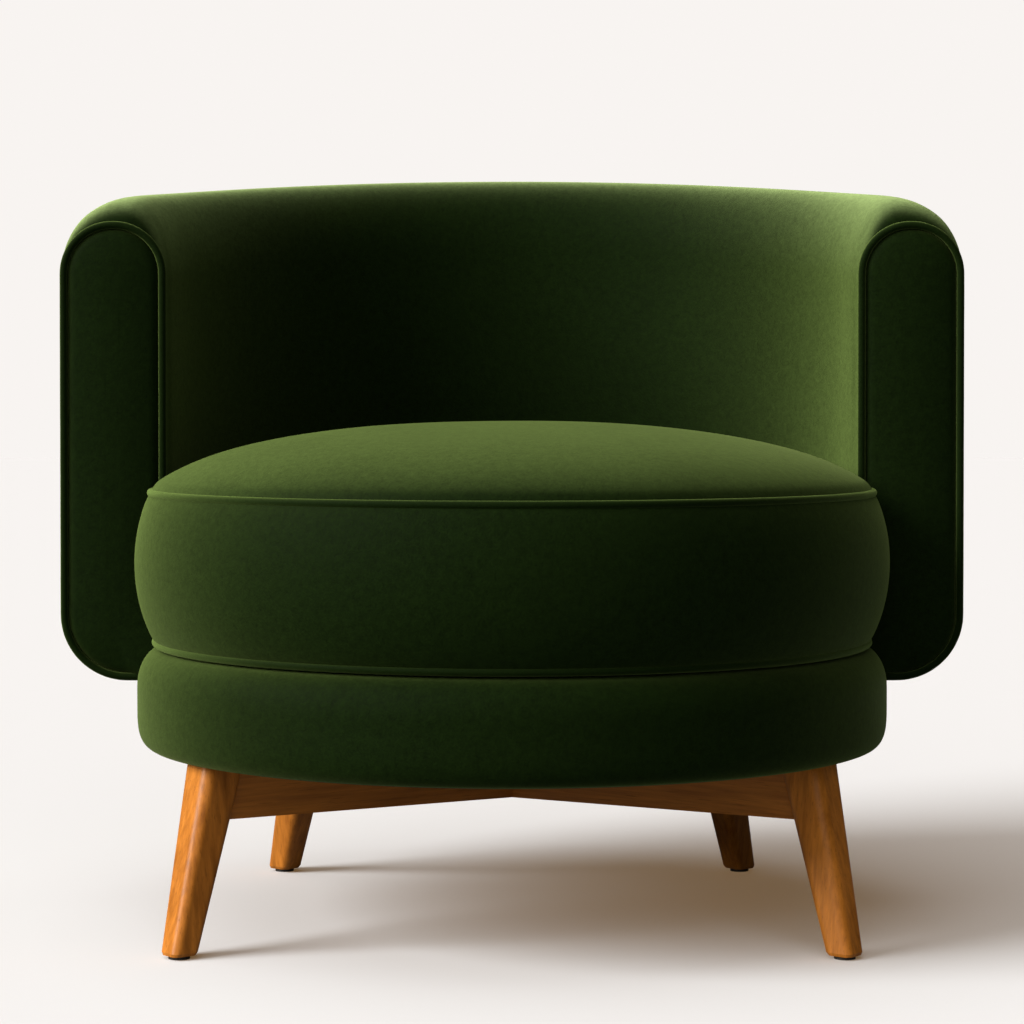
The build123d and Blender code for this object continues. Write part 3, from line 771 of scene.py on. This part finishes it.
def soften(made, levels):
    """Rounds a piece by subdivision, applied"""
    modifier = made.modifiers.new("Subdivision", "SUBSURF")
    modifier.levels = levels
    modifier.render_levels = levels
    graph = bpy.context.evaluated_depsgraph_get()
    mesh = bpy.data.meshes.new_from_object(made.evaluated_get(graph))
    made.modifiers.remove(modifier)
    mesh.name = made.data.name
    made.data = mesh


# Operators

class CHAIR_OT_wall(bpy.types.Operator):
    """Makes the padded half-round wall that is the back and both arms"""

    bl_idname = "chair.wall"
    bl_label = "Wall"

    def execute(self, context):
        sizes = context.scene.chair_sizes
        mid = 0.5 * (sizes.wall_inner + sizes.wall_outer)
        slope = wall_slope(sizes)
        # How far each front section lies behind the arm fronts, and how far it is drawn in
        fronts = ((0.0068, 0.0090), (0.0070, 0.0055), (0.0076, 0.0030), (0.0088, 0.0014), (0.0110, 0.0005),
                  (0.0145, 0.0001), (0.0190, 0.0), (0.0240, 0.0), (0.0300, 0.0))
        edge, bend, cheek = 0.0066, 0.030, 0.070
        puff_in, puff_out = 0.036, 0.13
        seam_depth, swell, steps, behind = 0.0013, 0.0006, 120, 0.038
        first = math.acos(behind / mid)

        def rise_at(back):
            puff = (1 - math.exp(-back / puff_in)) * math.exp(-back / puff_out)
            short = max(0.0, 1 - (back - edge) / bend)
            fall = sizes.roll_fall * (1 - math.sqrt(1 - short ** 2))
            return sizes.arm_height + back * slope + sizes.roll_puff * puff - fall

        def tuck_at(back):
            return sizes.inner_tuck * max(0.0, 1 - (back - edge) / cheek) ** 2

        def front(sign, back, inset):
            turn = math.acos(back / mid)
            points, _ = wall_section(sizes, turn, rise_at(back), inset, 0.0, tuck_at(back))
            return [(sign * math.sqrt(r * r - back * back), sizes.wall_axis + back, z) for r, z in points]

        rings = [front(-1, back, inset) for back, inset in fronts]
        for i in range(steps + 1):
            turn = first * (2 * i / steps - 1)
            back = mid * math.cos(turn)
            points, _ = wall_section(sizes, turn, rise_at(back), 0.0, seam_depth, tuck_at(back))
            ring = []
            for r, z in points:
                place = Vector((r * math.sin(turn), sizes.wall_axis + r * math.cos(turn), z))
                outward = Vector((math.sin(turn), math.cos(turn), 0.0)) * (1 if r > mid else -1)
                ring.append(place + outward * swell * uneven(place, 9.0, 1.0))
            rings.append(ring)
        rings += [front(1, back, inset) for back, inset in reversed(fronts)]
        # The wall's copy of the velvet has a stronger painted sheen and a painted top light
        made = piece("wall_upholstery", *capped(rings), [velvet_of(context, "wall")])
        # How far each point faces up, read by the wall velvet's painted top light
        mark_painted_top_light(made)
        declare(made, "chair", "velvet", "wall_inside_cover", "wall_outside_cover", "wall_padding")
        return {"FINISHED"}


class CHAIR_OT_arm_fronts(bpy.types.Operator):
    """Makes the two padded panels on the fronts of the arms"""

    bl_idname = "chair.arm_fronts"
    bl_label = "Arm fronts"

    def execute(self, context):
        sizes = context.scene.chair_sizes
        inset = sizes.piping + 0.0002
        points, before_base = arm_arch(sizes, inset)
        blend = 7
        flat = []
        for i in range(len(points)):
            off = min(max(0, before_base - 1 - i), i)
            flat.append(max(0.0, 1 - off / blend) ** 2)
        mid = 0.5 * (sizes.wall_inner + sizes.wall_outer)
        half = 0.5 * (sizes.wall_outer - sizes.wall_inner) - inset
        low = sizes.wall_bottom + inset + half
        high = sizes.arm_height - sizes.roll_over - inset - half
        seat, crest, rows = 0.0064, 0.0056, 10
        # Share of the way to the middle of the panel, and how far back
        profile = [(0.0, 0.0060), (0.010, 0.0046), (0.030, 0.0030)]
        for k in range(1, rows + 1):
            share = 0.06 + 0.79 * k / rows
            profile.append((share, 0.0022 - crest * (1 - (1 - share) ** 2)))
        deepest = profile[-1][1]
        for side, sign in (("left", -1), ("right", 1)):
            rings = [[(sign * x, sizes.wall_axis + seat, z) for x, z in points]]
            for share, back in profile:
                ring = []
                for (x, z), level in zip(points, flat):
                    tx = x + (mid - x) * share
                    tz = z + (min(high, max(low, z)) - z) * share
                    swell = 0.0005 * share * uneven(Vector((sign * tx, 0.0, tz)), 14.0, 5.0)
                    depth = back * (1 - level) + deepest * level
                    ring.append((sign * tx, sizes.wall_axis + depth + swell, tz))
                rings.append(ring)
            made = piece(f"arm_front_{side}", *capped(rings), [velvet_of(context)])
            declare(made, "chair", "velvet", f"arm_panel_{side}")
        return {"FINISHED"}


class CHAIR_OT_base(bpy.types.Operator):
    """Makes the velvet round the seat base and the deck cloth on it"""

    bl_idname = "chair.base"
    bl_label = "Base and deck"

    def execute(self, context):
        sizes = context.scene.chair_sizes
        roll, crest = sizes.base_roll, sizes.base_crest
        low, high = sizes.base_bottom, sizes.base_top
        foot, side = sizes.base_foot, sizes.base_radius
        rim = sizes.deck_radius + 0.0008
        under = foot - 0.012
        square = 0.66
        profile = [(under, low + 0.0012), (foot - 0.004, low)]
        for x, z in arc(0.0, 0.0, 1.0, 1.0, -90.0, 0.0, 14):
            out, up = max(x, 0.0) ** square, 1 - max(-z, 0.0) ** square
            profile.append((foot + (side - foot) * out, low + roll * up))
        profile += run((side, low + roll), (side, high - crest), 6, False)
        profile += arc(sizes.base_lip, high - crest, side - sizes.base_lip, crest, 0.0, 90.0, 10)
        profile += [(rim + 0.006, high), (rim + 0.0015, high - 0.0006), (rim, high - 0.004)]
        profile += [(rim, low + 0.02), (under, low + 0.014)]
        rings = []
        for turn in (2 * math.pi * i / 256 for i in range(256)):
            ring = []
            for r, z in profile:
                place = seat_point(sizes, turn, r, z)
                swell = 0.0005 * uneven(place, 8.0, 7.0) if r > foot and z < high - 0.002 else 0.0
                ring.append(seat_point(sizes, turn, r - abs(swell), z))
            rings.append(ring)
        verts = [p for ring in rings for p in ring]
        made = piece("base_upholstery", verts, skin(rings, True), [velvet_of(context)])
        declare(made, "chair", "velvet", "base_cover", "base_padding")

        tint = context.scene.chair_finish.cloth
        cloth = woven("deck_cloth", shaded(tint, 0.5), shaded(tint, 1.8), 320.0, 0.4)
        reach = sizes.deck_radius
        # Share of the radius, and how far up
        rows = [(0.02, 0.0), (0.2, 0.0), (0.4, 0.0), (0.6, 0.0), (0.75, 0.0), (0.86, 0.0), (0.94, 0.0),
                (0.98, -0.0003), (0.995, -0.001), (1.0, -0.0022)]
        turns = [2 * math.pi * i / 192 for i in range(192)]
        rings = []
        for share, drop in rows:
            ring = []
            for turn in turns:
                place = seat_point(sizes, turn, share * reach, high + drop)
                sag = 0.0005 * (uneven(place, 11.0, 3.0) - 1.0)
                ring.append(place + Vector((0.0, 0.0, sag)))
            rings.append(ring)
        rings.append([seat_point(sizes, turn, reach, high - 0.0070) for turn in turns])
        made = piece("deck_upholstery", *capped(rings), [cloth])
        declare(made, "chair", "deck_cloth", "deck_cloth", "deck_padding")
        return {"FINISHED"}


class CHAIR_OT_cushion(bpy.types.Operator):
    """Makes the loose seat cushion: sewn top, boxing and bottom, swelled by the cloth solver"""

    bl_idname = "chair.cushion"
    bl_label = "Cushion"

    def execute(self, context):
        sizes = context.scene.chair_sizes
        cells, levels = 56, 26
        row = cells + 1
        half = cells // 2
        around = 4 * cells
        rear = sizes.rear_radius - 0.0035
        under = sizes.lower_tuck
        swell, pressure = 0.0100, 9.0
        crest = sizes.cushion_top - swell
        steep = math.radians(85.0)
        full, notch = 2.3, 24
        bulge, rear_bulge = sizes.cushion_bulge - 0.0025, 0.0030
        heel_width, calm = 0.024, 0.05
        top_ripple, side_ripple = 0.0005, 0.0008

        def crown(r):
            """Height of the sewn top before it swells"""
            share = max(0.0, 1 - (r / sizes.seam_radius) ** full) ** (1 / full)
            return sizes.seam_upper + (crest - sizes.seam_upper) * share

        def top_point(turn, share):
            """A point of the top: inside, its rings pass the notches in a wide curve"""
            edge = seam_reach(sizes, turn, sizes.seam_radius, rear)
            wide = shoulder(turn, 35.0, 110.0)
            smooth = sizes.seam_radius * (1 - wide) + offset_circle(sizes, rear, turn) * wide
            share = math.sin(steep * share) / math.sin(steep)
            spread = share * smooth
            hold = 1 - (edge / smooth) ** notch
            r = spread / (1 + hold * (spread / edge) ** notch) ** (1 / notch)
            place = seat_point(sizes, turn, r, crown(share * sizes.seam_radius))
            rise = top_ripple * uneven(place, 7.0, 11.0) * min(1.0, max(0.0, edge - r) / calm)
            return place + Vector((0.0, 0.0, rise))

        def low_point(turn, share):
            """A point of the underside, which turns up to its seam"""
            edge = seam_reach(sizes, turn, sizes.seam_radius - under, rear)
            r = share * edge
            heel = max(0.0, 1.0 - (edge - r) / heel_width) ** 2
            z = sizes.cushion_bottom + heel * (sizes.seam_lower - sizes.cushion_bottom)
            return seat_point(sizes, turn, r, z)

        def disc(maker):
            """Square grid pressed into the plan, so that no fan of triangles meets in the middle"""
            verts = []
            for i in range(row):
                for j in range(row):
                    x, y = 2 * i / cells - 1, 2 * j / cells - 1
                    share = max(abs(x), abs(y))
                    if share < 1e-9:
                        spot = 0.0
                    elif abs(x) >= abs(y):
                        spot = (y / x + (0.0 if x > 0 else 4.0)) / 8.0
                    else:
                        spot = (2.0 - x / y + (0.0 if y > 0 else 4.0)) / 8.0
                    verts.append(maker(seat_turn(spot), share))
            return verts

        def square_ring(k):
            """Points of the grid k steps from its middle, in order round the seat"""
            low, high = half - k, half + k
            ring = [(high, j) for j in range(half, high)] + [(i, high) for i in range(high, low, -1)]
            ring += [(low, j) for j in range(high, low, -1)] + [(i, low) for i in range(low, high)]
            ring += [(high, j) for j in range(low, half)]
            return [i * row + j for i, j in ring]

        def belt(upper, lower):
            """Faces between two rings of points round the cushion"""
            return [(upper[n - 1], upper[n], lower[n], lower[n - 1]) for n in range(around)]

        top_rim = square_ring(half)
        verts = disc(top_point)
        square = [(i * row + j, (i + 1) * row + j, (i + 1) * row + j + 1, i * row + j + 1)
                  for i in range(cells) for j in range(cells)]
        faces = list(square)
        last = top_rim
        for k in range(1, levels):
            t = k / levels
            z = sizes.seam_upper + (sizes.seam_lower - sizes.seam_upper) * t
            belly = (4 * t * (1 - t)) ** 0.8
            ring = []
            for n in range(around):
                turn = seat_turn(n / around)
                share = shoulder(turn)
                r = seam_reach(sizes, turn, sizes.seam_radius - under * t * t, rear)
                r += belly * (bulge * (1 - share) + rear_bulge * share)
                place = seat_point(sizes, turn, r, z)
                r += side_ripple * uneven(place, 7.0, 13.0) * belly * (1 - share)
                ring.append(len(verts))
                verts.append(seat_point(sizes, turn, r, z))
            faces += belt(last, ring)
            last = ring
        base = len(verts)
        verts += disc(low_point)
        faces += [tuple(base + v for v in face) for face in square]
        faces += belt(last, [base + v for v in top_rim])
        # The top of the seat gets its own copy of the velvet, with its own painted sheen
        made = piece("cushion_upholstery", verts, faces, [velvet_of(context), velvet_of(context, "seat")])
        for polygon in made.data.polygons:
            polygon.material_index = 1 if polygon.center.z > sizes.seam_upper else 0
        seam_gap, rim_reach, wall_front = 0.0006, 0.29, sizes.wall_axis - 0.0045

        def limit(place):
            """Keeps a point between the arms inside the wall"""
            flat = Vector((place.x, place.y - sizes.wall_axis))
            if place.y > wall_front and flat.length > sizes.rear_radius:
                flat *= sizes.rear_radius / flat.length
                return Vector((flat.x, sizes.wall_axis + flat.y, place.z))
            return place

        pins = [v.index for v in made.data.vertices
                if v.co.z < sizes.seam_lower + seam_gap or abs(v.co.z - sizes.seam_upper) < seam_gap
                and (v.co - seat_point(sizes, 0, 0, v.co.z)).length > rim_reach]
        rings = [[half * row + half]] + [square_ring(k) for k in range(1, half)]
        inflate(made, pins, pressure, swell, limit, rings)
        soften(made, 1)
        declare(made, "cushion", "velvet",
                "cushion_top_panel", "cushion_boxing", "cushion_bottom_panel", "cushion_foam")
        return {"FINISHED"}


class CHAIR_OT_piping(bpy.types.Operator):
    """Lays the piping round the arm fronts and along both cushion seams"""

    bl_idname = "chair.piping"
    bl_label = "Piping"

    def execute(self, context):
        sizes = context.scene.chair_sizes
        cover = bpy.data.materials.get("velvet_piping")
        if cover is None:
            # The piping's velvet carries the same painted sheen
            cover = velvet("velvet_piping", context.scene.chair_finish, 1500.0, 0.22)
        tree = group(piping_tree, "Piping")
        radius = sizes.piping / 2
        settings = {"Radius": radius, "Unevenness": 0.10, "Spacing": 0.004, "Material": cover}
        points, before_base = arm_arch(sizes, radius)
        for seed, (side, sign) in enumerate((("left", -1), ("right", 1))):
            path = [(sign * x, sizes.wall_axis + radius, z) for x, z in points[:before_base]]
            settings["Seed"] = 1.0 + seed
            made = follow(f"arm_piping_{side}", tree, [path], False, settings)
            declare(made, "chair", "piping", f"arm_welt_{side}")
        seams = (("upper", sizes.seam_upper, 0.0), ("lower", sizes.seam_lower, sizes.lower_tuck))
        for seed, (name, z, tuck) in enumerate(seams):
            front, rear = sizes.seam_radius - 0.0005 - tuck, sizes.rear_radius - 0.002
            turns = [seat_turn(n / 360) for n in range(360)]
            path = [seat_point(sizes, turn, seam_reach(sizes, turn, front, rear), z) for turn in turns]
            settings["Seed"] = 5.0 + seed
            made = follow(f"cushion_piping_{name}", tree, [path], True, settings)
            declare(made, "cushion", "piping", f"cushion_welt_{name}")
        return {"FINISHED"}


class CHAIR_OT_zip(bpy.types.Operator):
    """Makes the zip tape with its teeth and dresses the slider"""

    bl_idname = "chair.zip"
    bl_label = "Zip"

    def execute(self, context):
        sizes = context.scene.chair_sizes
        finish = context.scene.chair_finish
        tape_cloth = woven("zip_cloth", (0.006, 0.010, 0.004), (0.022, 0.034, 0.014), 700.0, 0.5)
        metal = plated("zip_brass", (0.42, 0.34, 0.20), 0.34, 0.6)
        z = 0.5 * (sizes.seam_upper + sizes.seam_lower)
        half = 0.5 * sizes.zip_height
        spread = math.radians(50.0)

        def spot(turn, r, height):
            return Vector((r * math.sin(turn), sizes.wall_axis + r * math.cos(turn), height))

        def along(share, count):
            """Directions from end to end of a share of the tape"""
            return [spread * (2 * i / count - 1) * share for i in range(count + 1)]

        outer, inner = sizes.zip_radius, sizes.zip_radius - 0.0008
        section = [(inner, -half), (outer - 0.0002, -half), (outer, -half + 0.0004), (outer, -0.0032),
                   (outer - 0.0003, -0.0022), (outer - 0.0003, 0.0022), (outer, 0.0032),
                   (outer, half - 0.0004), (outer - 0.0002, half), (inner, half)]
        rings = [[spot(turn, r, z + h) for r, h in section] for turn in along(1.0, 160)]
        made = piece("zip_tape_strip", *capped(rings), [tape_cloth])
        declare(made, "cushion", "zip_tape", "zip_tape")
        tree = group(teeth_tree, "ZipTeeth")
        rows = [[spot(turn, outer - 0.0002, z + height) for turn in along(0.985, 240)]
                for height in (-0.0009, 0.0009)]
        settings = {"Pitch": 0.0021, "Tooth": Vector((0.0022, 0.0007, 0.0013)), "Material": metal}
        made = follow("zip_teeth", tree, rows, False, settings)
        declare(made, "cushion", "zip_metal")
        dress(plated("zip_slider_metal", finish.metal, 0.3, 0.55), "zip_slider")
        return {"FINISHED"}


class CHAIR_OT_woodwork(bpy.types.Operator):
    """Gives legs, rails, base panel and glides their materials"""

    bl_idname = "chair.woodwork"
    bl_label = "Woodwork"

    def execute(self, context):
        finish = context.scene.chair_finish
        legs = ("leg_front_left", "leg_front_right", "leg_back_left", "leg_back_right")
        for number, name in enumerate(legs):
            shift = (0.37 * number, 0.21 * number, 0.0)
            dress(wood(f"wood_{name}", finish, (0.0, 0.0, 0.0), 2, shift), name)
        turn = math.radians(38.4)  # of the rails from straight across
        dress(wood("wood_rail_a", finish, (0.0, 0.0, -turn), 0, (0.0, 1.3, 0.0)), "cross_rail_a")
        dress(wood("wood_rail_b", finish, (0.0, 0.0, turn), 0, (0.0, 2.1, 0.0)), "cross_rail_b")
        dark = shaded(finish.panel_edge, 0.55)
        dress(plywood("panel_ply", finish.panel_edge, dark, 260.0), "base_panel")
        dress(moulded("glide_nylon", (0.010, 0.008, 0.006), (0.035, 0.028, 0.022)), "floor_glides")
        return {"FINISHED"}


class CHAIR_OT_inside(bpy.types.Operator):
    """Gives the frame, fixings, webbing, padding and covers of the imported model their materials"""

    bl_idname = "chair.inside"
    bl_label = "Inside"

    def execute(self, context):
        finish = context.scene.chair_finish
        timber = plywood("inner_wood", finish.raw_wood, shaded(finish.raw_wood, 0.66), 150.0)
        dress(timber, "leg_dowels", "base_hoop", "deck_ring", "wall_bottom_rail", "wall_top_rail",
              "wall_posts", "arm_post_left", "arm_post_right")
        steel = plated("plated_steel", finish.metal, 0.36, 0.6)
        dress(steel, "frame_bolts", "frame_washers", "threaded_inserts", "base_screws", "deck_screws",
              "wall_brackets", "bracket_bolts", "arm_post_screws")
        dress(woven("elastic_webbing", (0.02, 0.02, 0.02), (0.10, 0.09, 0.07), 420.0, 0.7),
              "webbing_across", "webbing_front_to_back")
        dress(foam("open_foam", finish), "cushion_foam", "wall_padding", "base_padding", "deck_padding")
        dress(velvet_of(context), "wall_inside_cover", "wall_outside_cover", "base_cover",
              "arm_panel_left", "arm_panel_right", "arm_welt_left", "arm_welt_right",
              "cushion_top_panel", "cushion_boxing", "cushion_bottom_panel",
              "cushion_welt_upper", "cushion_welt_lower", "deck_cloth", "zip_tape")
        return {"FINISHED"}


class CHAIR_OT_stage(bpy.types.Operator):
    """Sets the floor, the light and the camera"""

    bl_idname = "chair.stage"
    bl_label = "Stage"

    def execute(self, context):
        scene = context.scene
        stage = scene.chair_stage
        scene.view_settings.view_transform = "Standard"

        floor = piece("floor", [(-14, -10, 0), (14, -10, 0), (14, 18, 0), (-14, 18, 0)], [(0, 1, 2, 3)], [])
        key_tint, room_tint = (1.0, 0.985, 0.95), (1.0, 0.985, 0.96)
        suns = (
            ("Key", stage.key_power, stage.key_turn, stage.key_rise, stage.key_size),
            ("Top", stage.top_power, stage.top_turn, stage.top_rise, stage.top_size),
            ("Front", stage.front_power, stage.front_turn, stage.front_rise, stage.front_size),
        )
        direct = sum(power * math.sin(rise) / math.pi for _, power, _, rise, _ in suns)
        light = [direct * k + stage.fill_power * r for k, r in zip(key_tint, room_tint)]
        matched = [(paper - shade) / level for paper, shade, level in zip(stage.paper, stage.shade, light)]
        material, shader, wire = new_material("floor_paper")
        grain = wire.places().noise(220.0, 2.0, 0.5)
        tint = grain.between(shaded(matched, 0.99), shaded(matched, 1.01))
        seen = wire.node("ShaderNodeLightPath", {}, {}, "Is Camera Ray")
        tint = seen.between(shaded(matched, stage.floor_bounce), tint)
        feed(shader, Base_Color=tint, Roughness=(0.9 + (grain - 0.5) * 0.1).clamped(), Specular_IOR_Level=0.0)
        feed(shader, Emission_Color=seen.between((0.0, 0.0, 0.0), stage.shade), Emission_Strength=1.0)
        floor.data.materials.append(material)

        world = bpy.data.worlds.new("Studio")
        scene.world = world
        world.use_nodes = True
        tree = world.node_tree
        wire = Wire(tree)
        seen = wire.node("ShaderNodeLightPath", {}, {}, "Is Camera Ray")
        fill = {"Color": opaque(room_tint), "Strength": stage.fill_power}
        room = wire.node("ShaderNodeBackground", {}, fill)
        paper = wire.node("ShaderNodeBackground", {}, {"Color": opaque(stage.paper), "Strength": 1.0})
        both = wire.node("ShaderNodeMixShader", {}, {0: seen, 1: room, 2: paper})
        tree.links.new(both.socket, tree.nodes["World Output"].inputs["Surface"])

        for name, power, turn, rise, size in suns:
            sun = bpy.data.lights.new(name, "SUN")
            sun.energy = power
            sun.angle = size
            sun.color = key_tint
            lamp = bpy.data.objects.new(name, sun)
            scene.collection.objects.link(lamp)
            flat = math.cos(rise)
            toward = Vector((-math.sin(turn) * flat, -math.cos(turn) * flat, math.sin(rise)))
            lamp.location = toward * 4.0
            lamp.rotation_euler = toward.to_track_quat("Z", "Y").to_euler()

        lens = bpy.data.cameras.new("Camera")
        lens.sensor_width = 36.0
        lens.lens = stage.camera_lens
        lens.shift_y = stage.camera_shift
        lens.clip_start = 0.05
        lens.clip_end = 60.0
        camera = bpy.data.objects.new("Camera", lens)
        scene.collection.objects.link(camera)
        camera.location = (0.0, stage.camera_y, stage.camera_z)
        camera.rotation_euler = (math.pi / 2 - stage.camera_pitch, 0.0, 0.0)
        scene.camera = camera
        return {"FINISHED"}


class CHAIR_PT_panel(bpy.types.Panel):
    """Sizes and steps of the chair"""

    bl_label = "Round Accent Chair"
    bl_idname = "CHAIR_PT_panel"
    bl_space_type = "VIEW_3D"
    bl_region_type = "UI"
    bl_category = "Chair"

    def draw(self, context):
        layout = self.layout
        for step in STEPS:
            layout.operator(step.bl_idname)
        for settings in (context.scene.chair_sizes, context.scene.chair_finish, context.scene.chair_stage):
            box = layout.box()
            for key in settings.__annotations__:
                box.prop(settings, key)


STEPS = (
    CHAIR_OT_inside, CHAIR_OT_woodwork, CHAIR_OT_wall, CHAIR_OT_arm_fronts, CHAIR_OT_base,
    CHAIR_OT_cushion, CHAIR_OT_piping, CHAIR_OT_zip, CHAIR_OT_stage,
)
CLASSES = (ChairSizes, ChairFinish, ChairStage, *STEPS, CHAIR_PT_panel)


def register():
    for item in CLASSES:
        bpy.utils.register_class(item)
    bpy.types.Scene.chair_sizes = bpy.props.PointerProperty(type=ChairSizes)
    bpy.types.Scene.chair_finish = bpy.props.PointerProperty(type=ChairFinish)
    bpy.types.Scene.chair_stage = bpy.props.PointerProperty(type=ChairStage)


def unregister():
    del bpy.types.Scene.chair_stage
    del bpy.types.Scene.chair_finish
    del bpy.types.Scene.chair_sizes
    for item in reversed(CLASSES):
        bpy.utils.unregister_class(item)


def main():
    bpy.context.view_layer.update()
    register()
    bpy.ops.chair.inside()
    bpy.ops.chair.woodwork()
    bpy.ops.chair.wall()
    bpy.ops.chair.arm_fronts()
    bpy.ops.chair.base()
    bpy.ops.chair.cushion()
    bpy.ops.chair.piping()
    bpy.ops.chair.zip()
    bpy.ops.chair.stage()


if __name__ == "__main__":
    main()
